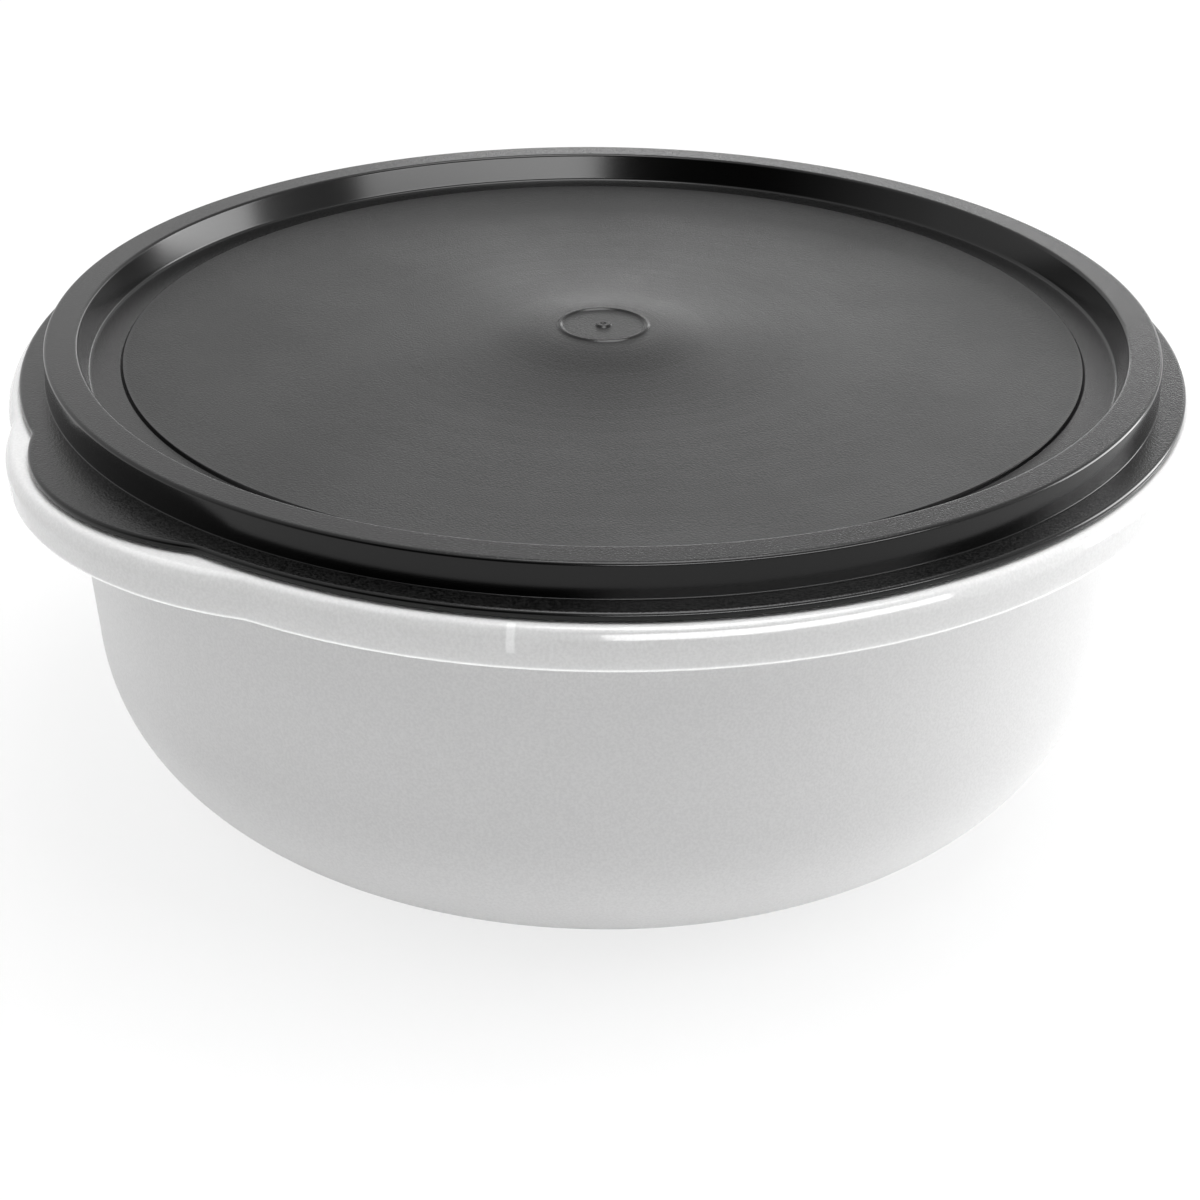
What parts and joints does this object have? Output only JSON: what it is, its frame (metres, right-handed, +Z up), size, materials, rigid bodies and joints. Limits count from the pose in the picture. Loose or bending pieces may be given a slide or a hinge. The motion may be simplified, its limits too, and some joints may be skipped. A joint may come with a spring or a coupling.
{
  "type": "dough proofing container",
  "caption": "Round translucent dough proofing bowl with a down-turned grip collar and a press-on black lid with a pull tab.",
  "frame": {"origin": "middle of the bowl's flat underside, on the table", "axes": "+Z up along the bowl's axis, -Y towards the lid's pull tab"},
  "size_m": [0.303, 0.3111, 0.1195],
  "materials": {
    "bowl_plastic": "frosted translucent natural polypropylene, glossier on the collar",
    "lid_plastic": "black polypropylene, satin with a fine grain on its upper faces, smoother on the ring's walls and the edges"
  },
  "bodies": {
    "bowl": {"bowl": "bowl_plastic"},
    "lid": {"lid": "lid_plastic"}
  },
  "joints": [
    {"name": "lid_lift", "type": "slide", "parent": "bowl", "child": "lid", "axis": [0, 0, 1], "range_m": [0, 0.15]}
  ]
}
